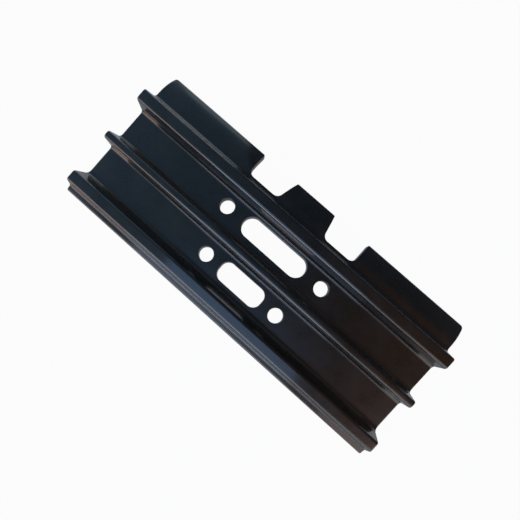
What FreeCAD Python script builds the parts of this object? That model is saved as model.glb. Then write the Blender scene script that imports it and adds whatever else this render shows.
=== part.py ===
import FreeCAD, Part
import math
import os

# Triple-grouser track shoe of a crawler excavator, in millimetres.
#
# The shoe is one piece. A hot-rolled bar brings the whole cross-section: a flat plate, three
# grousers, a lip that droops in front and an edge that is raised behind. The bar is sheared to
# length, its front is notched for the two track links, and the mud slots and bolt holes are
# punched through the plate.
#
# X runs along the grousers, +Y points to the drooping lip and +Z to the grouser tips. The origin
# is the centre of the bolt pattern on the flat underside, where the track links sit.

# --- driving dimensions ---------------------------------------------------------------------

shoe_length = 500.0
plate_thickness = 10.0
grouser_height = 25.0  # tip above the plate's upper face
tip_radius = 4.0

# Each grouser is given by its tip's two corners, by the lean of its flanks off the vertical and
# by the fillets at its foot. "front" is the side of the lip, "rear" the side of the raised edge.
front_grouser = dict(
    tip_front=70.4, tip_rear=54.6, lean_front=17.5, lean_rear=5.5, foot_front=7.0, foot_rear=4.5
)
middle_grouser = dict(
    tip_front=1.8, tip_rear=-7.8, lean_front=14.5, lean_rear=3.5, foot_front=6.0, foot_rear=4.5
)
rear_grouser = dict(tip_front=-63.8, tip_rear=-74.2, lean_front=17.5, lean_rear=32.5, foot_front=8.0)

# The lip leaves the plate at bend_start, droops through one long bend and thins to its nose.
lip_reach = 118.5
lip_bend_start = 84.0
lip_upper_bend_radius = 64.0
lip_lower_bend_radius = 52.0
lip_droop = 28.0  # degrees
lip_nose_thickness = 8.5
lip_nose_radius = 4.0

# The rear edge is rolled half a grouser high, so the next shoe's lip can swing in under it.
rear_reach = 90.4
ledge_height = 22.5  # above the underside, at the grouser's flank
ledge_fall = 1.5
ledge_fillet = 3.0
rear_edge_thickness = 9.0
rear_edge_radius = 3.0
relief_height = 11.0
relief_inner = 77.5
relief_start = 62.5
relief_inner_radius = 14.0
relief_start_radius = 12.0

# The plan outline of the front: a tab between two notches, and a wing outside each of them.
# Widths are half-widths from the middle of the shoe; outline_reach is just past the lip's nose.
outline_reach = 119.0
wing_corner_radius = 6.5
notch_corner_radius = 4.0
notch_root = 83.2
notch_root_radius = 9.0
notch_outer_at_edge = 90.6
notch_outer_at_root = 88.9
tab_half_at_edge = 31.8
tab_half_at_root = 39.2
behind_shoe = -100.0

# Bolt holes lie in two rows of two, and a mud slot lies between the holes of each row.
bolt_hole_diameter = 20.5
row_spacing = 65.0
wide_row_spacing = 162.5
narrow_row_spacing = 121.0
long_slot_length = 104.4
long_slot_width = 29.4
short_slot_length = 71.4
short_slot_width = 28.6
short_slot_corner_radius = 11.5

# Small edge breaks: the rim that a punch draws in, and the ground edges of the sheared ends.
punch_rim = 0.6
sheared_edge_break = 0.8

cut_start = -20.0  # below the lip's nose
cut_height = 60.0  # to above the grouser tips

steel_density = 7.85e-6  # kg per cubic millimetre
same_place = 1e-4  # points this close count as one


# --- outlines -------------------------------------------------------------------------------


def rounded_outline(corners):
    """Closed wire through (point, radius) corners; each corner becomes a tangent arc."""
    count = len(corners)
    starts = []
    middles = []
    ends = []
    for index, (point, radius) in enumerate(corners):
        before = (corners[index - 1][0] - point).normalize()
        after = (corners[(index + 1) % count][0] - point).normalize()
        half_angle = before.getAngle(after) / 2.0
        bisector = (before + after).normalize()
        setback = radius / math.tan(half_angle)
        to_middle = radius / math.sin(half_angle) - radius
        starts.append(point + before * setback)
        middles.append(point + bisector * to_middle)
        ends.append(point + after * setback)
    edges = []
    for index, (point, radius) in enumerate(corners):
        if radius > 0.0:
            edges.append(Part.Arc(starts[index], middles[index], ends[index]).toShape())
        following = starts[(index + 1) % count]
        gap = following - ends[index]
        if gap.dot(corners[(index + 1) % count][0] - point) < -same_place:
            raise ValueError("the arc at corner %d runs into the next one" % index)
        if gap.Length > same_place:
            edges.append(Part.LineSegment(ends[index], following).toShape())
    return Part.Wire(edges)


def section_corner(y, z, radius=0.0):
    return (FreeCAD.Vector(0.0, y, z), radius)


def plan_corner(x, y, radius=0.0):
    return (FreeCAD.Vector(x, y, cut_start), radius)


def plan_prism(corners):
    """Upright prism that passes through the whole height of the shoe."""
    face = Part.Face(rounded_outline(corners))
    return face.extrude(FreeCAD.Vector(0.0, 0.0, cut_height))


# --- the rolled section ---------------------------------------------------------------------


def flank_run(lean, height):
    """Sideways travel of a flank that leans off the vertical over this height."""
    return height * math.tan(math.radians(lean))


def lip_corners():
    """From the underside's bend, round the nose, to the upper face's bend."""
    droop = math.radians(lip_droop)
    along = FreeCAD.Vector(0.0, math.cos(droop), -math.sin(droop))
    across = FreeCAD.Vector(0.0, -math.sin(droop), -math.cos(droop))
    upper_bend = lip_bend_start + lip_upper_bend_radius * math.tan(droop / 2.0)
    lower_bend = lip_bend_start + lip_lower_bend_radius * math.tan(droop / 2.0)
    nose_bulge = lip_nose_radius * (1.0 - math.cos(droop) - math.sin(droop))
    run = (lip_reach - nose_bulge - upper_bend) / math.cos(droop)
    nose_top = FreeCAD.Vector(0.0, upper_bend, plate_thickness) + along * run
    nose_bottom = nose_top + across * lip_nose_thickness
    return [
        section_corner(lower_bend, 0.0, lip_lower_bend_radius),
        (nose_bottom, lip_nose_radius),
        (nose_top, lip_nose_radius),
        section_corner(upper_bend, plate_thickness, lip_upper_bend_radius),
    ]


def grouser_corners(grouser):
    """Front foot, the two tip corners and the rear foot of a grouser on the plate."""
    tip = plate_thickness + grouser_height
    foot_front = grouser["tip_front"] + flank_run(grouser["lean_front"], grouser_height)
    foot_rear = grouser["tip_rear"] - flank_run(grouser["lean_rear"], grouser_height)
    return [
        section_corner(foot_front, plate_thickness, grouser["foot_front"]),
        section_corner(grouser["tip_front"], tip, tip_radius),
        section_corner(grouser["tip_rear"], tip, tip_radius),
        section_corner(foot_rear, plate_thickness, grouser["foot_rear"]),
    ]


def rear_edge_corners():
    """The last grouser, whose rear flank runs out on the raised edge, and the relief below."""
    tip = plate_thickness + grouser_height
    foot_front = rear_grouser["tip_front"] + flank_run(rear_grouser["lean_front"], grouser_height)
    ledge = rear_grouser["tip_rear"] - flank_run(rear_grouser["lean_rear"], tip - ledge_height)
    edge_top = ledge_height - ledge_fall
    edge_bottom = edge_top - rear_edge_thickness
    return [
        section_corner(foot_front, plate_thickness, rear_grouser["foot_front"]),
        section_corner(rear_grouser["tip_front"], tip, tip_radius),
        section_corner(rear_grouser["tip_rear"], tip, tip_radius),
        section_corner(ledge, ledge_height, ledge_fillet),
        section_corner(-rear_reach, edge_top, rear_edge_radius),
        section_corner(-rear_reach, edge_bottom, rear_edge_radius),
        section_corner(-relief_inner, relief_height, relief_inner_radius),
        section_corner(-relief_start, 0.0, relief_start_radius),
    ]


def rolled_bar():
    """The bar as it comes off the mill, sheared to the shoe's length."""
    corners = lip_corners()
    corners += grouser_corners(front_grouser)
    corners += grouser_corners(middle_grouser)
    corners += rear_edge_corners()
    face = Part.Face(rounded_outline(corners))
    face.translate(FreeCAD.Vector(-shoe_length / 2.0, 0.0, 0.0))
    return face.extrude(FreeCAD.Vector(shoe_length, 0.0, 0.0))


# --- what is cut ----------------------------------------------------------------------------


def lip_outline():
    """Plan of the shoe. Its front edge, with wings, notches and tab, is what trims the bar."""
    half = [
        (tab_half_at_edge, outline_reach, notch_corner_radius),
        (tab_half_at_root, notch_root, notch_root_radius),
        (notch_outer_at_root, notch_root, notch_root_radius),
        (notch_outer_at_edge, outline_reach, notch_corner_radius),
        (shoe_length / 2.0, outline_reach, wing_corner_radius),
        (shoe_length / 2.0, behind_shoe, 0.0),
    ]
    right = [plan_corner(x, y, radius) for x, y, radius in half]
    left = [plan_corner(-x, y, radius) for x, y, radius in reversed(half)]
    return plan_prism(right + left)


def mud_slot(y, length, width, corner_radius):
    """Slot through the plate, centred on the bolt row at y."""
    half_length = length / 2.0
    half_width = width / 2.0
    return plan_prism(
        [
            plan_corner(half_length, y - half_width, corner_radius),
            plan_corner(half_length, y + half_width, corner_radius),
            plan_corner(-half_length, y + half_width, corner_radius),
            plan_corner(-half_length, y - half_width, corner_radius),
        ]
    )


def bolt_row(y, spacing):
    """Drills for the two holes of one row."""
    drills = []
    for side in (-1.0, 1.0):
        start = FreeCAD.Vector(side * spacing / 2.0, y, cut_start)
        drills.append(Part.makeCylinder(bolt_hole_diameter / 2.0, cut_height, start))
    return drills


# --- edges that are broken ------------------------------------------------------------------


def punched_rims(shoe):
    """Edges round the holes and slots on the plate's upper face, where the punch went in."""
    rims = []
    for edge in shoe.Edges:
        box = edge.BoundBox
        on_upper_face = box.ZLength < same_place and abs(box.ZMin - plate_thickness) < same_place
        in_rows = max(abs(box.YMin), abs(box.YMax)) < row_spacing
        in_middle = max(abs(box.XMin), abs(box.XMax)) < shoe_length / 4.0
        if on_upper_face and in_rows and in_middle:
            rims.append(edge)
    return rims


def sheared_edges(shoe):
    """Edges round the two sheared end faces."""
    end = shoe_length / 2.0
    return [
        edge
        for edge in shoe.Edges
        if edge.BoundBox.XLength < same_place and abs(edge.BoundBox.XMax) > end - same_place
    ]


# --- the shoe -------------------------------------------------------------------------------


def track_shoe():
    wide_row = row_spacing / 2.0
    narrow_row = -row_spacing / 2.0
    punches = bolt_row(wide_row, wide_row_spacing)
    punches += bolt_row(narrow_row, narrow_row_spacing)
    punches.append(
        mud_slot(wide_row, long_slot_length, long_slot_width, long_slot_width / 2.0)
    )
    punches.append(
        mud_slot(narrow_row, short_slot_length, short_slot_width, short_slot_corner_radius)
    )
    shoe = rolled_bar().common(lip_outline())
    shoe = shoe.cut(punches).Solids[0]
    shoe = shoe.makeChamfer(punch_rim, punched_rims(shoe)).Solids[0]
    return shoe.makeChamfer(sheared_edge_break, sheared_edges(shoe)).Solids[0]


shoe = track_shoe()
print("one solid, valid:", shoe.isValid())
print("volume %.0f mm3, steel %.2f kg" % (shoe.Volume, shoe.Volume * steel_density))
print("length %.1f, width %.1f, height %.1f mm" % (
    shoe.BoundBox.XLength, shoe.BoundBox.YLength, shoe.BoundBox.ZLength
))
os.makedirs("parts", exist_ok=True)
shoe.exportStep("parts/track_shoe.step")
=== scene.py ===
# %% [markdown]
# # A track shoe for a crawler excavator
#
# The real shoe is one piece of steel. A mill rolls a long bar that already has the whole
# cross-section: a flat plate, three grousers that bite into the ground, a lip that droops in front
# and an edge that is raised behind. The bar is sheared to length, its front is notched for the two
# track links, bolt holes and mud slots are punched through it, and it is painted black.
#
# The CAD model is the frame that everything here is measured against. Its rounded edges are made
# of a few flat strips, though, and on black paint the light shows each of them, and the tip of its
# rear grouser is about 4 mm too narrow. So the shoe is made once more with fine, smooth edges and
# a wider rear grouser, in the steps of the real making: roll, shear, notch, punch, paint. X runs
# along the grousers, +Y points to the drooping lip and +Z to the grouser tips. Blender counts in
# metres, so sizes in millimetres are turned by `mm`.

import math

import bpy
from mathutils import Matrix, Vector


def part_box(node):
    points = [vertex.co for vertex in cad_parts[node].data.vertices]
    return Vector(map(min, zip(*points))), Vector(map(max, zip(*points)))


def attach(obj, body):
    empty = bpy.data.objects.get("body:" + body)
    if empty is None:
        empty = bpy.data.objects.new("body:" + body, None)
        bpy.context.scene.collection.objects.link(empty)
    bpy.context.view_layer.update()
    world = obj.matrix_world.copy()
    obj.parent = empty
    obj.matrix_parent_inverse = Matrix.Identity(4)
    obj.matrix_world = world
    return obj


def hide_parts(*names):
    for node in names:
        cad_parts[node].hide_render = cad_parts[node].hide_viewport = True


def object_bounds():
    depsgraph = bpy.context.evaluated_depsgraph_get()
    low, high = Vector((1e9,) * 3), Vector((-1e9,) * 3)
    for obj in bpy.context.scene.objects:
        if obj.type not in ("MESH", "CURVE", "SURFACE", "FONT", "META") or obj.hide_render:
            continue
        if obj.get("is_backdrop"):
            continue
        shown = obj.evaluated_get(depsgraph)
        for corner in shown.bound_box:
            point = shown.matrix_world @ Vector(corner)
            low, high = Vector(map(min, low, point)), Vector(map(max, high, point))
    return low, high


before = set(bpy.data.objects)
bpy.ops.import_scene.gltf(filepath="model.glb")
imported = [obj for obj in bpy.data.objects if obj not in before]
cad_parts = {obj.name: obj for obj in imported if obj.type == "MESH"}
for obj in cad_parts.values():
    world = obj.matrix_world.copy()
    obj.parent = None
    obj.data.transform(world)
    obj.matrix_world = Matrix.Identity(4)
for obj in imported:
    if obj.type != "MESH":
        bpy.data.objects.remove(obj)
cad_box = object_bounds()
low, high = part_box("track_shoe")
mm = 0.001
print("CAD box in mm:", [round(v / mm, 1) for v in low], [round(v / mm, 1) for v in high])

# %% [markdown]
# ## One helper for every node
#
# Geometry and materials are both node trees here. A tree that is written by hand in the editor
# grows one node at a time, and so does this one: the helper adds a node, sets its options by name
# and fills its inputs, by name or by number, with a plain value or with a link. A node given as
# a value stands for its first output.

# %% Add a node


def add(tree, kind, inputs=None, **settings):
    """A new node of this kind, with its settings, inputs and links. A list of sources is joined."""
    node = tree.nodes.new(kind)
    for name, value in settings.items():
        setattr(node, name, value)
    for socket, value in (inputs or {}).items():
        for source in value if isinstance(value, list) else [value]:
            if isinstance(source, bpy.types.Node):
                source = source.outputs[0]
            if isinstance(source, bpy.types.NodeSocket):
                tree.links.new(source, node.inputs[socket])
            else:
                node.inputs[socket].default_value = source
    return node


# %% [markdown]
# ## The section of the rolled bar
#
# The section is the outline that the mill's rolls give the hot steel. It could be drawn as a fine
# polygon, but a roll turner thinks of it as straight flanks and roundings, so it is kept that way:
# one corner for each change of direction, with the radius that rounds it. Overall sizes come from
# the frame. A grouser's flanks are given by how far they lean off the vertical, because the rolls
# need that draft to let go of the steel.

# %% Sizes of the section
length = high.x - low.x
lip_reach = high.y
rear_reach = -low.y
tip_height = high.z
plate = 10 * mm
tip_radius = 4 * mm

front_grouser = dict(tip=(70.4 * mm, 54.6 * mm), lean=(17.5, 5.5), foot=(7 * mm, 4.5 * mm))
middle_grouser = dict(tip=(1.8 * mm, -7.8 * mm), lean=(14.5, 3.5), foot=(6 * mm, 4.5 * mm))
# The CAD model has the rear corner of this tip at -74.2 mm and its rear flank at 32.5 degrees
rear_grouser = dict(tip=(-63.8 * mm, -78.0 * mm), lean=(17.5, 20.0), foot=(8 * mm, 3 * mm))

lip_bend = dict(start=84 * mm, droop=28, upper_radius=64 * mm, lower_radius=52 * mm)
lip_nose = dict(thickness=8.5 * mm, radius=4 * mm)
ledge = dict(height=22.5 * mm, fall=1.5 * mm, thickness=9 * mm, radius=3 * mm)
relief = dict(
    height=11 * mm, inner=77.5 * mm, start=62.5 * mm, inner_radius=14 * mm, start_radius=12 * mm
)

# %% Corners of the section


def run(lean, height):
    """Sideways travel of a flank that leans this many degrees off the vertical."""
    return height * math.tan(math.radians(lean))


def lip_corners():
    """From the underside's bend, round the nose, to the upper face's bend."""
    droop = math.radians(lip_bend["droop"])
    upper = lip_bend["start"] + lip_bend["upper_radius"] * math.tan(droop / 2)
    lower = lip_bend["start"] + lip_bend["lower_radius"] * math.tan(droop / 2)
    bulge = lip_nose["radius"] * (1 - math.cos(droop) - math.sin(droop))
    slope = (lip_reach - bulge - upper) / math.cos(droop)
    top = (upper + slope * math.cos(droop), plate - slope * math.sin(droop))
    bottom = (
        top[0] - lip_nose["thickness"] * math.sin(droop),
        top[1] - lip_nose["thickness"] * math.cos(droop),
    )
    return [
        (lower, 0, lip_bend["lower_radius"]),
        (*bottom, lip_nose["radius"]),
        (*top, lip_nose["radius"]),
        (upper, plate, lip_bend["upper_radius"]),
    ]


def grouser_corners(grouser, rear_foot_height=plate):
    """Front foot, the two corners of the tip, and the rear foot."""
    (tip_front, tip_rear), (lean_front, lean_rear) = grouser["tip"], grouser["lean"]
    return [
        (tip_front + run(lean_front, tip_height - plate), plate, grouser["foot"][0]),
        (tip_front, tip_height, tip_radius),
        (tip_rear, tip_height, tip_radius),
        (tip_rear - run(lean_rear, tip_height - rear_foot_height), rear_foot_height, grouser["foot"][1]),
    ]


def rear_edge_corners():
    """The raised edge behind the last grouser, and the relief below it."""
    top = ledge["height"] - ledge["fall"]
    return [
        (-rear_reach, top, ledge["radius"]),
        (-rear_reach, top - ledge["thickness"], ledge["radius"]),
        (-relief["inner"], relief["height"], relief["inner_radius"]),
        (-relief["start"], 0, relief["start_radius"]),
    ]


section_corners = (
    lip_corners()
    + grouser_corners(front_grouser)
    + grouser_corners(middle_grouser)
    + grouser_corners(rear_grouser, ledge["height"])
    + rear_edge_corners()
)
print("the section has", len(section_corners), "corners")

# %% [markdown]
# ## Drawings that the tools follow
#
# A closed curve of straight lines is a good drawing of corners, and each of its points has a spare
# number, its radius, that can hold the rounding of that corner. Two drawings are needed: the
# section, and the plan of the front that the shear and the notching tool follow. The plan is a
# little longer than the shoe at both ends, so that its sides never lie in the sheared faces,
# because a cut along a shared face has no clear answer.

# %% Draw corners as a curve


def drawing(name, corners):
    """A closed curve through (x, y, radius) corners, for the node trees to read."""
    curve = bpy.data.curves.new(name, "CURVE")
    spline = curve.splines.new("POLY")
    spline.points.add(len(corners) - 1)
    for point, (x, y, radius) in zip(spline.points, corners):
        point.co = (x, y, 0, 1)
        point.radius = radius
    spline.use_cyclic_u = True
    sheet = bpy.data.objects.new(name, curve)
    bpy.context.scene.collection.objects.link(sheet)
    return sheet


tab_half = dict(edge=31.8 * mm, root=39.2 * mm)
notch_outer = dict(edge=90.6 * mm, root=88.9 * mm)
notch_root = 83.2 * mm
notch_root_radius = 9 * mm
notch_corner_radius = 4 * mm
wing_corner_radius = 6.5 * mm
clearance = 0.05 * mm
plan_edge = lip_reach + 0.5 * mm
plan_end = length / 2 + clearance
plan_back = -rear_reach - 10 * mm

right_half = [
    (tab_half["edge"], plan_edge, notch_corner_radius),
    (tab_half["root"], notch_root, notch_root_radius),
    (notch_outer["root"], notch_root, notch_root_radius),
    (notch_outer["edge"], plan_edge, notch_corner_radius),
    (plan_end, plan_edge, wing_corner_radius),
    (plan_end, plan_back, 1 * mm),
]
left_half = [(-x, y, radius) for x, y, radius in reversed(right_half)]

section_drawing = drawing("section_drawing", section_corners)
plan_drawing = drawing("plan_drawing", right_half + left_half)
print("the plan has", len(right_half + left_half), "corners")

# %% [markdown]
# ## The punches
#
# A bolt hole is a round punch. A mud slot is the same round punch whose four quarters are pulled
# apart, so one rule makes all six: a radius, and how far the quarters move in X and in Y. They are
# the points of a small mesh, and the tree puts a punch on each.

# %% Place the punches
row = 32.5 * mm
bolt_radius = 10.25 * mm
wide_bolts = 162.5 * mm
narrow_bolts = 121 * mm
long_slot = dict(length=104.4 * mm, width=29.4 * mm, radius=14.7 * mm)
short_slot = dict(length=71.4 * mm, width=28.6 * mm, radius=11.5 * mm)


def slot_punch(y, slot):
    """Centre, radius and spread of the punch for a mud slot."""
    spread = (slot["length"] / 2 - slot["radius"], slot["width"] / 2 - slot["radius"], 0)
    return (0, y, 0), slot["radius"], spread


punches = [((side * wide_bolts / 2, row, 0), bolt_radius, (0, 0, 0)) for side in (-1, 1)]
punches += [((side * narrow_bolts / 2, -row, 0), bolt_radius, (0, 0, 0)) for side in (-1, 1)]
punches += [slot_punch(row, long_slot), slot_punch(-row, short_slot)]

punch_mesh = bpy.data.meshes.new("punch_plan")
punch_mesh.from_pydata([centre for centre, radius, spread in punches], [], [])
radii = punch_mesh.attributes.new("punch_radius", "FLOAT", "POINT")
spreads = punch_mesh.attributes.new("punch_spread", "FLOAT_VECTOR", "POINT")
for index, (centre, radius, spread) in enumerate(punches):
    radii.data[index].value = radius
    spreads.data[index].vector = spread
punch_plan = bpy.data.objects.new("punch_plan", punch_mesh)
bpy.context.scene.collection.objects.link(punch_plan)
print(len(punches), "punches")

# %% [markdown]
# ## A tree that makes the shoe
#
# A box with loop cuts could be modelled into one shoe by hand. A node tree follows the rule
# instead: change a corner, a length or a hole and the shoe is made again. Its inputs are named
# here. The tree is filled in by the next cells, one for each step of the making.

# %% Start the tree
tree = bpy.data.node_groups.new("make_track_shoe", "GeometryNodeTree")
tree_inputs = {
    "Section": ("NodeSocketObject", section_drawing),
    "Plan": ("NodeSocketObject", plan_drawing),
    "Punches": ("NodeSocketObject", punch_plan),
    "Length": ("NodeSocketFloat", length),
    "Rings": ("NodeSocketInt", 96),
    "Arc Points": ("NodeSocketInt", 10),
    "Strip Width": ("NodeSocketFloat", 4 * mm),
    "Edge Break": ("NodeSocketFloat", 0.8 * mm),
    "Unevenness": ("NodeSocketFloat", 0.12 * mm),
    "Plate": ("NodeSocketFloat", plate),
    "Rim": ("NodeSocketFloat", 0.7 * mm),
    "Tool Bottom": ("NodeSocketFloat", -20 * mm),
    "Tool Top": ("NodeSocketFloat", 60 * mm),
    "Paint": ("NodeSocketMaterial", None),
}
tree.interface.new_socket("Geometry", in_out="OUTPUT", socket_type="NodeSocketGeometry")
sockets = {}
for name, (kind, value) in tree_inputs.items():
    sockets[name] = tree.interface.new_socket(name, in_out="INPUT", socket_type=kind)
given = add(tree, "NodeGroupInput").outputs
print("the tree has", len(sockets), "inputs")

# %% [markdown]
# ### Roll
#
# Fillet Curve rounds each corner of the section by its own radius. The straight runs are then cut
# into strips, so that the shading of a rounding can't spread over a whole flank. Curve to Mesh
# pushes the section along a line, as the mill does. The rings of the line stand close together
# at the two ends, where the sheared edge is broken, and wide apart between: a sine does that.

# %% Round the section and push it along the bar
section_lines = add(tree, "GeometryNodeObjectInfo", {"Object": given["Section"]}).outputs["Geometry"]
rounding = add(tree, "GeometryNodeInputRadius")
rounded = add(
    tree, "GeometryNodeFilletCurve",
    {"Curve": section_lines, "Count": given["Arc Points"], "Radius": rounding}, mode="POLY",
)
place = add(tree, "GeometryNodeInputPosition")
next_point = add(tree, "GeometryNodeOffsetPointInCurve", {"Offset": 1}).outputs["Point Index"]
next_place = add(
    tree, "GeometryNodeFieldAtIndex", {"Value": place, "Index": next_point},
    data_type="FLOAT_VECTOR", domain="POINT",
)
gap = add(tree, "ShaderNodeVectorMath", {0: place, 1: next_place}, operation="DISTANCE").outputs["Value"]
strips = add(tree, "ShaderNodeMath", {0: gap, 1: given["Strip Width"]}, operation="DIVIDE")
profile = add(tree, "GeometryNodeSubdivideCurve", {"Curve": rounded, "Cuts": strips})

half_length = add(tree, "ShaderNodeMath", {0: given["Length"], 1: 0.5}, operation="MULTIPLY")
line_end = add(tree, "ShaderNodeCombineXYZ", {"X": 1.0})
line_start = add(tree, "ShaderNodeCombineXYZ", {"X": -1.0})
line = add(tree, "GeometryNodeCurvePrimitiveLine", {"Start": line_start, "End": line_end})
line = add(tree, "GeometryNodeResampleCurve", {"Curve": line, "Count": given["Rings"]}, mode="COUNT")
along = add(tree, "ShaderNodeSeparateXYZ", {0: place})
quarter_turns = add(tree, "ShaderNodeMath", {0: along, 1: math.pi / 2}, operation="MULTIPLY")
eased = add(tree, "ShaderNodeMath", {0: quarter_turns}, operation="SINE")
ring_x = add(tree, "ShaderNodeMath", {0: eased, 1: half_length}, operation="MULTIPLY")
ring_place = add(tree, "ShaderNodeCombineXYZ", {"X": ring_x})
line = add(tree, "GeometryNodeSetPosition", {"Geometry": line, "Position": ring_place})
bar = add(tree, "GeometryNodeCurveToMesh", {"Curve": line, "Profile Curve": profile, "Fill Caps": True})
# Curve to Mesh lays the drawing on its back, so half a turn about the bar stands it up
stood_up = add(tree, "GeometryNodeTransform", {"Geometry": bar, "Rotation": (math.pi, 0, 0)})

# %% [markdown]
# ### Break the sheared ends
#
# A sheared end has a sharp edge all round, which is ground off before the shoe is painted. A Bevel
# would have to find those edges among thousands. The rings are already there, so the last few of
# them are pulled in along a quarter circle instead: a ring that lies a depth t inside the broken
# zone moves in by r - sqrt(r * r - t * t).

# %% Pull the end rings in
x_here = add(tree, "ShaderNodeSeparateXYZ", {0: place})
from_middle = add(tree, "ShaderNodeMath", {0: x_here}, operation="ABSOLUTE")
zone_start = add(tree, "ShaderNodeMath", {0: half_length, 1: given["Edge Break"]}, operation="SUBTRACT")
depth = add(tree, "ShaderNodeMath", {0: from_middle, 1: zone_start}, operation="SUBTRACT")
depth = add(tree, "ShaderNodeMath", {0: depth, 1: 0.0}, operation="MAXIMUM")
depth_squared = add(tree, "ShaderNodeMath", {0: depth, 1: depth}, operation="MULTIPLY")
break_squared = add(
    tree, "ShaderNodeMath", {0: given["Edge Break"], 1: given["Edge Break"]}, operation="MULTIPLY"
)
left_over = add(tree, "ShaderNodeMath", {0: break_squared, 1: depth_squared}, operation="SUBTRACT")
left_over = add(tree, "ShaderNodeMath", {0: left_over, 1: 0.0}, operation="MAXIMUM")
left_over = add(tree, "ShaderNodeMath", {0: left_over}, operation="SQRT")
pull_in = add(tree, "ShaderNodeMath", {0: left_over, 1: given["Edge Break"]}, operation="SUBTRACT")
facing = add(tree, "GeometryNodeInputNormal")
across = add(tree, "ShaderNodeVectorMath", {0: facing, 1: (0, 1, 1)}, operation="MULTIPLY")
across = add(tree, "ShaderNodeVectorMath", {0: across}, operation="NORMALIZE")
inward = add(tree, "ShaderNodeVectorMath", {0: across, "Scale": pull_in}, operation="SCALE")
broken = add(tree, "GeometryNodeSetPosition", {"Geometry": stood_up, "Offset": inward})

# %% [markdown]
# ### Leave it as uneven as the mill does
#
# Hot steel never comes out quite flat. A slow noise, about a tenth of a millimetre high and drawn
# out along the bar, is enough to make a line of light waver the way it does on rolled steel.

# %% Unevenness of the rolled skin
swell_size = 45 * mm
drawn_out = (0.35, 1, 1)
stretched = add(tree, "ShaderNodeVectorMath", {0: place, 1: drawn_out}, operation="MULTIPLY")
swell = add(
    tree, "ShaderNodeTexNoise", {"Vector": stretched, "Scale": 1 / swell_size, "Detail": 1.0},
    noise_dimensions="3D",
)
swell = add(tree, "ShaderNodeMath", {0: swell, 1: 0.5}, operation="SUBTRACT")
swell = add(tree, "ShaderNodeMath", {0: swell, 1: given["Unevenness"]}, operation="MULTIPLY")
swell = add(tree, "ShaderNodeMath", {0: swell, 1: 2.0}, operation="MULTIPLY")
swollen = add(tree, "ShaderNodeVectorMath", {0: across, "Scale": swell}, operation="SCALE")
uneven = add(tree, "GeometryNodeSetPosition", {"Geometry": broken, "Offset": swollen})

# %% [markdown]
# ### Notch
#
# The plan is rounded and pushed up into a block that is as tall as the tools reach. What the bar
# and the block have in common is the notched shoe.

# %% Cut the plan out of the bar
plan_lines = add(tree, "GeometryNodeObjectInfo", {"Object": given["Plan"]}).outputs["Geometry"]
plan_rounded = add(
    tree, "GeometryNodeFilletCurve",
    {"Curve": plan_lines, "Count": given["Arc Points"], "Radius": rounding}, mode="POLY",
)
tool_low = add(tree, "ShaderNodeCombineXYZ", {"Z": given["Tool Bottom"]})
tool_height = add(
    tree, "ShaderNodeMath", {0: given["Tool Top"], 1: given["Tool Bottom"]}, operation="SUBTRACT"
)
plan_face = add(tree, "GeometryNodeFillCurve", {"Curve": plan_rounded}, mode="NGONS")
plan_face = add(tree, "GeometryNodeTransform", {"Geometry": plan_face, "Translation": tool_low})
walls = add(
    tree, "GeometryNodeExtrudeMesh",
    {"Mesh": plan_face, "Offset": (0, 0, 1), "Offset Scale": tool_height}, mode="FACES",
)
underneath = add(tree, "GeometryNodeFlipFaces", {"Mesh": plan_face})
block = add(tree, "GeometryNodeJoinGeometry", {0: [walls, underneath]})
block = add(tree, "GeometryNodeMergeByDistance", {"Geometry": block, "Distance": 0.001 * mm})
notched = add(
    tree, "GeometryNodeMeshBoolean", {"Mesh 2": [uneven, block]},
    operation="INTERSECT", solver="MANIFOLD",
)

# %% [markdown]
# ### Punch
#
# Each punch starts as one and the same cylinder of radius 1 and height 1, with six rows of faces.
# The rows tell it what to do: the lowest and the highest ring go to the ends of the tool, and the
# five rings between them turn outwards through a quarter circle at the plate's upper face. That
# is the soft rim that a punch draws in before it bites.

# %% Shape the punches
side_rows = 6
punch_sides = 48
punch = add(
    tree, "GeometryNodeMeshCylinder",
    {"Vertices": punch_sides, "Side Segments": side_rows, "Radius": 1.0, "Depth": 1.0}, fill_type="NGON",
)
punch = add(
    tree, "GeometryNodeStoreNamedAttribute", {"Geometry": punch, "Name": "unit", "Value": place},
    data_type="FLOAT_VECTOR", domain="POINT",
)
punch_points = add(tree, "GeometryNodeObjectInfo", {"Object": given["Punches"]}).outputs["Geometry"]
placed = add(tree, "GeometryNodeInstanceOnPoints", {"Points": punch_points, "Instance": punch})
placed = add(tree, "GeometryNodeRealizeInstances", {"Geometry": placed})

unit = add(tree, "GeometryNodeInputNamedAttribute", {"Name": "unit"}, data_type="FLOAT_VECTOR")
radius = add(tree, "GeometryNodeInputNamedAttribute", {"Name": "punch_radius"}, data_type="FLOAT")
spread = add(tree, "GeometryNodeInputNamedAttribute", {"Name": "punch_spread"}, data_type="FLOAT_VECTOR")
unit_parts = add(tree, "ShaderNodeSeparateXYZ", {0: unit})
row_number = add(
    tree, "ShaderNodeMapRange",
    {"Value": unit_parts.outputs["Z"], "From Min": -0.5, "From Max": 0.5, "To Max": side_rows},
)
turn = add(
    tree, "ShaderNodeMapRange",
    {"Value": row_number, "From Min": 1.0, "From Max": side_rows - 1.0, "To Max": math.pi / 2},
)
turn_sine = add(tree, "ShaderNodeMath", {0: turn}, operation="SINE")
turn_cosine = add(tree, "ShaderNodeMath", {0: turn}, operation="COSINE")
flare = add(tree, "ShaderNodeMath", {0: 1.0, 1: turn_cosine}, operation="SUBTRACT")
flare = add(tree, "ShaderNodeMath", {0: flare, 1: given["Rim"], 2: radius}, operation="MULTIPLY_ADD")
sunk = add(tree, "ShaderNodeMath", {0: turn_sine, 1: 1.0}, operation="SUBTRACT")
rim_z = add(
    tree, "ShaderNodeMath", {0: sunk, 1: given["Rim"], 2: given["Plate"]}, operation="MULTIPLY_ADD"
)
is_bottom = add(tree, "ShaderNodeMath", {0: row_number, 1: 0.5}, operation="LESS_THAN")
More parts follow.
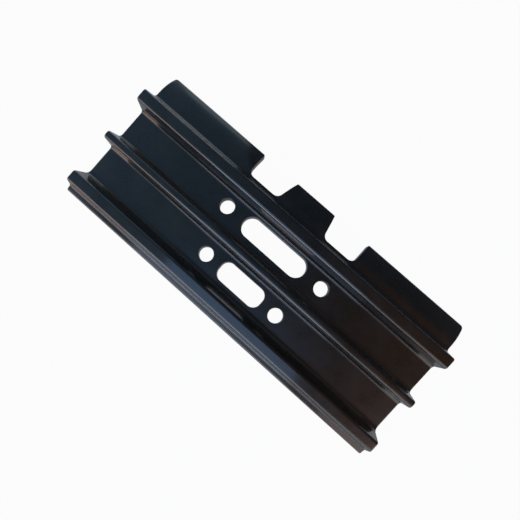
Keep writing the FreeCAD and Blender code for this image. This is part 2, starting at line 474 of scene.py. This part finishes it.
is_top = add(tree, "ShaderNodeMath", {0: row_number, 1: side_rows - 0.5}, operation="GREATER_THAN")
tool_z = add(
    tree, "GeometryNodeSwitch",
    {"Switch": is_bottom, "False": rim_z, "True": given["Tool Bottom"]}, input_type="FLOAT",
)
tool_z = add(
    tree, "GeometryNodeSwitch",
    {"Switch": is_top, "False": tool_z, "True": given["Tool Top"]}, input_type="FLOAT",
)

# %% [markdown]
# The rings are then blown up to the punch's radius, and every quarter is moved by the spread, in
# the direction of its own side.

# %% Spread the quarters and punch
round_shape = add(tree, "ShaderNodeVectorMath", {0: unit, "Scale": flare}, operation="SCALE")
quarter = add(tree, "ShaderNodeVectorMath", {0: unit}, operation="SIGN")
shift = add(tree, "ShaderNodeVectorMath", {0: quarter, 1: spread}, operation="MULTIPLY")
shape = add(tree, "ShaderNodeVectorMath", {0: round_shape, 1: shift}, operation="ADD")
centre = add(tree, "ShaderNodeVectorMath", {0: place, 1: unit}, operation="SUBTRACT")
shape = add(tree, "ShaderNodeVectorMath", {0: shape, 1: centre}, operation="ADD")
shape_parts = add(tree, "ShaderNodeSeparateXYZ", {0: shape})
tool_place = add(
    tree, "ShaderNodeCombineXYZ",
    {"X": shape_parts.outputs["X"], "Y": shape_parts.outputs["Y"], "Z": tool_z},
)
tools = add(tree, "GeometryNodeSetPosition", {"Geometry": placed, "Position": tool_place})
punched = add(
    tree, "GeometryNodeMeshBoolean", {"Mesh 1": notched, "Mesh 2": tools},
    operation="DIFFERENCE", solver="MANIFOLD",
)

# %% [markdown]
# ### Finish the tree
#
# The whole surface is shaded smooth, apart from the edges that a tool has cut: they turn by more
# than 35 degrees, and nothing that the mill rolled does within one face. Realize Instances and
# Set Material close the tree, because only real, painted faces can be exported.

# %% Sharp where it was cut
cut_angle = math.radians(35)
slivers_merged = add(tree, "GeometryNodeMergeByDistance", {"Geometry": punched, "Distance": 0.01 * mm})
smooth = add(
    tree, "GeometryNodeSetShadeSmooth", {"Geometry": slivers_merged, "Shade Smooth": True}, domain="FACE"
)
edge_turn = add(tree, "GeometryNodeInputMeshEdgeAngle").outputs["Unsigned Angle"]
was_cut = add(tree, "ShaderNodeMath", {0: edge_turn, 1: cut_angle}, operation="GREATER_THAN")
crisp = add(
    tree, "GeometryNodeSetShadeSmooth",
    {"Geometry": smooth, "Selection": was_cut, "Shade Smooth": False}, domain="EDGE",
)
realized = add(tree, "GeometryNodeRealizeInstances", {"Geometry": crisp})
painted = add(tree, "GeometryNodeSetMaterial", {"Geometry": realized, "Material": given["Paint"]})
add(tree, "NodeGroupOutput", {0: painted})
print("the tree has", len(tree.nodes), "nodes")

# %% [markdown]
# ## Black paint on rolled steel
#
# The finish is an enamel that was sprayed on the bar with no more preparation than a wire brush:
# close to black, semi-gloss, and only as smooth as what lies below it. Black paint has almost no
# colour of its own, so the eye reads it by its reflections. What tells it from black plastic is
# in the roughness and the bump: the mill's rolling marks drawn out along the bar, the fine orange
# peel of the spray over them, and a thin film of dust that has settled here and there and dulls
# the gloss. A glossy shader with one roughness would look like a render. The coat is the smooth
# skin of the enamel, which gives the crisp part of a reflection over the soft one. Each pattern
# below has its real size in millimetres.

# %% Colours and pattern sizes


def linear(hex_colour):
    """An sRGB hex colour as the linear RGBA that shaders take."""
    channels = [int(hex_colour[i : i + 2], 16) / 255 for i in (1, 3, 5)]
    return (*[c / 12.92 if c <= 0.04045 else ((c + 0.055) / 1.055) ** 2.4 for c in channels], 1.0)


def pattern_scale(size):
    """The scale of a noise whose features are about this size, in metres."""
    return 1 / size


def new_material(name):
    """An empty node material and its tree."""
    material = bpy.data.materials.new(name)
    material.use_nodes = True
    material.node_tree.nodes.clear()
    return material, material.node_tree


# %% Spray-painted black enamel
rolling_mark_width, rolling_mark_stretch = 3 * mm, (0.12, 1, 1)
orange_peel_size, orange_peel_share = 1.6 * mm, 0.35
dust_patch_size = 28 * mm
skin_depth, skin_strength = 0.03 * mm, 0.35
black_paint, paint = new_material("sprayed_black_enamel_on_rolled_steel")
spot = add(paint, "ShaderNodeTexCoord").outputs["Object"]

rolled = add(paint, "ShaderNodeMapping", {"Vector": spot, "Scale": rolling_mark_stretch})
rolling_marks = add(
    paint, "ShaderNodeTexNoise",
    {"Vector": rolled, "Scale": pattern_scale(rolling_mark_width), "Detail": 3.0, "Roughness": 0.55},
)
orange_peel = add(
    paint, "ShaderNodeTexNoise",
    {"Vector": spot, "Scale": pattern_scale(orange_peel_size), "Detail": 2.0, "Roughness": 0.5},
)
dust = add(
    paint, "ShaderNodeTexNoise",
    {"Vector": spot, "Scale": pattern_scale(dust_patch_size), "Detail": 5.0, "Roughness": 0.6},
)
dust_film = add(paint, "ShaderNodeMapRange", {"Value": dust, "From Min": 0.42, "From Max": 0.75})

# Inputs 6 and 7 of a colour Mix are its two colours, and output 2 is the mixed one
colour = add(
    paint, "ShaderNodeMix",
    {"Factor": dust_film, 6: linear("#151617"), 7: linear("#232324")}, data_type="RGBA",
)
roughness = add(
    paint, "ShaderNodeMapRange",
    {"Value": dust, "From Min": 0.3, "From Max": 0.75, "To Min": 0.24, "To Max": 0.38},
)
skin = add(
    paint, "ShaderNodeMath", {0: orange_peel, 1: orange_peel_share, 2: rolling_marks},
    operation="MULTIPLY_ADD",
)
bump = add(
    paint, "ShaderNodeBump", {"Strength": skin_strength, "Distance": skin_depth, "Height": skin}
)
shader = add(
    paint, "ShaderNodeBsdfPrincipled",
    {
        "Base Color": colour.outputs[2], "Roughness": roughness, "IOR": 1.6, "Normal": bump,
        "Coat Weight": 1.0, "Coat Roughness": 0.1, "Coat IOR": 1.6, "Coat Normal": bump,
    },
)
add(paint, "ShaderNodeOutputMaterial", {"Surface": shader})
print("paint:", len(paint.nodes), "nodes")

# %% [markdown]
# ## Make the piece
#
# The modifier is given its inputs, the result is turned into a plain mesh and the modifier goes.
# Weighted Normal comes last in the stack: it lets the wide faces say where the surface looks, so
# a flank stays flat up to the strip where its rounding begins.

# %% Run the tree
maker_object = bpy.data.objects.new("track_shoe_maker", bpy.data.meshes.new("track_shoe_maker"))
bpy.context.scene.collection.objects.link(maker_object)
maker = maker_object.modifiers.new("make_track_shoe", "NODES")
maker.node_group = tree
tree_inputs["Paint"] = ("NodeSocketMaterial", black_paint)
for name, (kind, value) in tree_inputs.items():
    maker[sockets[name].identifier] = value
even_shading = maker_object.modifiers.new("even_shading", "WEIGHTED_NORMAL")
even_shading.keep_sharp = True

evaluated = maker_object.evaluated_get(bpy.context.evaluated_depsgraph_get())
shoe_mesh = bpy.data.meshes.new_from_object(evaluated)
shoe_mesh.name = "painted_track_shoe"
shoe = bpy.data.objects.new("painted_track_shoe", shoe_mesh)
bpy.context.scene.collection.objects.link(shoe)
for helper in (maker_object, section_drawing, plan_drawing, punch_plan):
    bpy.data.objects.remove(helper)

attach(shoe, "root")
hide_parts("track_shoe")
shoe_mesh.calc_loop_triangles()
print("the shoe has", len(shoe_mesh.loop_triangles), "triangles")

# %% [markdown]
# ## The floor
#
# The lip droops 7 mm below the underside, so a shoe that is laid down rests on its lip and on the
# rear end of its flat face, and leans back by about two degrees. The shoe keeps the frame of the
# CAD model, so here the floor leans instead: it goes through the two lines that the shoe would
# rest on. They are found by turning a straight edge under the lip until it touches the rear.

# %% Find the resting plane
points = [v.co for v in shoe_mesh.vertices]
rise = 0.0
for step in range(4):
    front = min(points, key=lambda p: p.z + rise * p.y)
    rise = min((p.z - front.z) / (front.y - p.y) for p in points if p.y < 0)
lean = math.atan(rise)
print("rests on the lip at y %.1f mm, leaning %.2f degrees" % (front.y / mm, math.degrees(lean)))

# %% [markdown]
# ### Turn the floor white
#
# The floor is matt and nearly white, but a lit floor is never as white as paper. Light Path knows
# what kind of ray asks for its colour, so the floor mixes in a plain white for the rays that come
# straight from the camera. A little of the lit floor is left in, and with it a faint shadow. The
# rays that the black paint has turned get far less of the white, because the light on a real floor
# is what the paint would show.

# %% Lay the floor


def turned_rays(material_tree, seen):
    """1 for a ray that has left a glossy or a clear surface, else 0."""
    return add(
        material_tree, "ShaderNodeMath",
        {0: seen.outputs["Is Glossy Ray"], 1: seen.outputs["Is Transmission Ray"]}, operation="MAXIMUM",
    )


white_for_camera = 0.96
white_for_turned = 0.12
floor_size = 12

floor_paint, pale = new_material("matt_white_studio_floor")
seen = add(pale, "ShaderNodeLightPath")
turned = turned_rays(pale, seen)
turned = add(pale, "ShaderNodeMath", {0: turned, 1: white_for_turned}, operation="MULTIPLY")
brightening = add(
    pale, "ShaderNodeMath", {0: seen.outputs["Is Camera Ray"], 1: white_for_camera},
    operation="MULTIPLY",
)
brightening = add(pale, "ShaderNodeMath", {0: brightening, 1: turned}, operation="MAXIMUM")
chalk = add(pale, "ShaderNodeBsdfDiffuse", {"Color": linear("#EDEDED"), "Roughness": 1.0})
white = add(pale, "ShaderNodeEmission", {"Color": (1, 1, 1, 1), "Strength": 1.0})
floor_shader = add(pale, "ShaderNodeMixShader", {0: brightening, 1: chalk, 2: white})
add(pale, "ShaderNodeOutputMaterial", {"Surface": floor_shader})

bpy.ops.mesh.primitive_plane_add(
    size=floor_size, location=(0, front.y, front.z), rotation=(-lean, 0, 0)
)
floor = bpy.context.object
floor.name = "floor"
floor.data.materials.append(floor_paint)
floor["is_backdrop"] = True
print("the floor is", floor_size, "m wide")

# %% [markdown]
# ## Light
#
# Black gloss shows its surroundings more than its colour, so the lamps are placed for what they
# leave on the flanks and roundings. One large softbox on the side of the raised edge gives the long
# lines of light along the grousers, low strips below it light their feet, and weaker lamps at the
# sides and above give other faces their faint tints. Each is a rectangle that faces the shoe, given
# by its direction, its spread as the shoe sees it and the brightness of its face, because those
# decide a reflection. Azimuth 0 is the side of the raised edge, and 90 the end at +X.

# %% Lamps
lamp_distance = 2.2


def direction(azimuth, elevation):
    """The unit vector from the shoe towards an azimuth and an elevation, in radians."""
    level = math.cos(elevation)
    return Vector((math.sin(azimuth) * level, -math.cos(azimuth) * level, math.sin(elevation)))


def softbox(name, aim, spread, radiance, tint):
    """A rectangular lamp that faces the shoe from (azimuth, elevation), all in degrees."""
    size = [2 * lamp_distance * math.tan(math.radians(angle / 2)) for angle in spread]
    towards = direction(*[math.radians(angle) for angle in aim])
    lamp = bpy.data.lights.new(name, "AREA")
    lamp.shape = "RECTANGLE"
    lamp.size, lamp.size_y = size
    lamp.energy = radiance * math.pi * size[0] * size[1]
    lamp.color = linear(tint)[:3]
    holder = bpy.data.objects.new(name, lamp)
    holder.location = towards * lamp_distance
    holder.rotation_euler = towards.to_track_quat("Z", "Y").to_euler()
    bpy.context.scene.collection.objects.link(holder)


lamps = [
    ("key_softbox", (-6, 38), (44, 40), 1.0, "#E4EAFF"),
    ("low_key", (-4, 12), (40, 12), 2.6, "#A0D4FF"),
    ("low_fill", (32, 12), (30, 12), 0.2, "#FFFFFF"),
    ("warm_bounce", (-42, 12), (30, 12), 1.6, "#FFB47C"),
    ("left_window", (-76, 30), (34, 30), 0.4, "#AFC8FF"),
    ("rear_window", (-152, 12), (14, 12), 0.4, "#D8F0FF"),
    ("right_softbox", (68, 36), (36, 36), 1.0, "#FFE6E4"),
    ("top_strip", (0, 73), (36, 24), 1.0, "#A4CCFF"),
]
for lamp in lamps:
    softbox(*lamp)
print(len(lamps), "lamps,", lamp_distance, "m away")

# %% [markdown]
# ### Surroundings
#
# The room is an even white. The camera and the rays that gloss has turned see it at full strength.
# What lights matt surfaces is half as strong, so that the lamps still model the form. The flags of
# the next step hide most of it from the shoe.

# %% Surroundings
room_light = 0.5
world = bpy.data.worlds.new("studio")
world.use_nodes = True
bpy.context.scene.world = world
world.node_tree.nodes.clear()
room = world.node_tree
seen = add(room, "ShaderNodeLightPath")
at_full = add(
    room, "ShaderNodeMath",
    {0: seen.outputs["Is Camera Ray"], 1: turned_rays(room, seen)}, operation="MAXIMUM",
)
strength = add(room, "ShaderNodeMapRange", {"Value": at_full, "To Min": room_light, "To Max": 1.0})
air = add(room, "ShaderNodeBackground", {"Color": (1, 1, 1, 1), "Strength": strength})
add(room, "ShaderNodeOutputWorld", {"Surface": air})
print("the room lights matt surfaces at", room_light)

# %% [markdown]
# ### Flags
#
# In a white room black gloss looks grey. In a studio, black felt is hung over such a product, and
# its flat faces then mirror the felt. Here it is a dome that leaves the white free near the floor,
# high on the side of the raised edge and low on the side of the lip, with a card just beyond the
# lip for the lowest angles. Real surroundings are never quite black, so the felt shines faintly:
# bluish at the left end, brownish at the right. The camera doesn't see the flags.

# %% Felt
flag_radius = 3.0
flag_cloth, cloth = new_material("black_felt_flag")
place_on_flag = add(cloth, "ShaderNodeTexCoord").outputs["Object"]
flag_side = add(cloth, "ShaderNodeSeparateXYZ", {0: place_on_flag})
across_dome = add(
    cloth, "ShaderNodeMapRange",
    {"Value": flag_side, "From Min": -flag_radius, "From Max": flag_radius},
)
tint = add(cloth, "ShaderNodeValToRGB", {0: across_dome})
stops = tint.color_ramp.elements
stops[0].position, stops[0].color = 0.2, (0.10, 0.17, 0.24, 1)
stops[1].position, stops[1].color = 0.8, (0.14, 0.07, 0.03, 1)
middle_stop = stops.new(0.5)
middle_stop.color = (0.035, 0.045, 0.06, 1)
felt = add(cloth, "ShaderNodeEmission", {"Color": tint, "Strength": 1.0})
add(cloth, "ShaderNodeOutputMaterial", {"Surface": felt})
print("felt:", len(cloth.nodes), "nodes")

# %% Hang the dome
opening_at_edge = 30
opening_at_lip = 3


def opening_height(azimuth):
    """Elevation up to which the dome leaves the white surroundings free, in degrees."""
    lip_side = max(0.0, math.cos(azimuth - math.pi)) ** 0.5
    return opening_at_edge - (opening_at_edge - opening_at_lip) * lip_side


flag_mesh = bpy.data.meshes.new("black_flag")
columns, rows = 72, 24
flag_points, flag_faces = [], []
for column in range(columns):
    azimuth = 2 * math.pi * column / columns
    low_edge = math.radians(opening_height(azimuth))
    for step in range(rows + 1):
        elevation = low_edge + (math.pi / 2 - low_edge) * step / rows
        flag_points.append(direction(azimuth, elevation) * flag_radius)
for column in range(columns):
    for step in range(rows):
        here = column * (rows + 1) + step
        beside = (column + 1) % columns * (rows + 1) + step
        flag_faces.append((here, here + 1, beside + 1, beside))
flag_mesh.from_pydata(flag_points, [], flag_faces)
flag_mesh.materials.append(flag_cloth)
flag = bpy.data.objects.new("black_flag", flag_mesh)
bpy.context.scene.collection.objects.link(flag)
flag.visible_camera = False
flag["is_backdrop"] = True
print("the dome has", len(flag_faces), "faces")

# %% Stand the card beyond the lip
card_y = 160 * mm
card_left, card_right = -130 * mm, 600 * mm
card_low, card_high = -20 * mm, 120 * mm
card_corners = [
    (card_left, card_y, card_low),
    (card_right, card_y, card_low),
    (card_right, card_y, card_high),
    (card_left, card_y, card_high),
]
card_mesh = bpy.data.meshes.new("black_card")
card_mesh.from_pydata(card_corners, [], [(0, 1, 2, 3)])
card_mesh.materials.append(flag_cloth)
card = bpy.data.objects.new("black_card", card_mesh)
bpy.context.scene.collection.objects.link(card)
card.visible_camera = card.visible_shadow = card.visible_diffuse = False
card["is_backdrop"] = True
print("the card stands %.1f mm beyond the lip" % ((card_y - lip_reach) / mm))

# %% [markdown]
# ## Camera
#
# The camera hangs 40 cm above the shoe and looks almost straight down on it, turned so that the
# grousers run from upper left to lower right. So close, a wide lens is what takes in the whole
# shoe, and it is what makes the grousers' ends flare outwards. The small shift moves the picture
# in its frame without turning the camera.

# %% Place the camera
lens = bpy.data.cameras.new("camera")
lens.sensor_width = 36
lens.lens = 21.44
lens.shift_x, lens.shift_y = 0.0342, 0.0626
lens.clip_start = 0.01
camera = bpy.data.objects.new("camera", lens)
camera.location = (23.9 * mm, -31.2 * mm, 410.9 * mm)
camera.rotation_euler = [math.radians(angle) for angle in (0.69, 2.34, 41.79)]
bpy.context.scene.collection.objects.link(camera)
bpy.context.scene.camera = camera
bpy.context.scene.view_settings.view_transform = "Standard"
print("the camera is %.1f mm above the plate" % ((camera.location.z - plate) / mm))

# %% [markdown]
# ## Sizes
#
# The box of the finished shoe is printed beside the CAD box, to be compared.

# %% Print both boxes
boxes = {"cad": cad_box, "looks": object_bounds()}
for name, box in boxes.items():
    print(name, [[round(v / mm, 2) for v in corner] for corner in box])
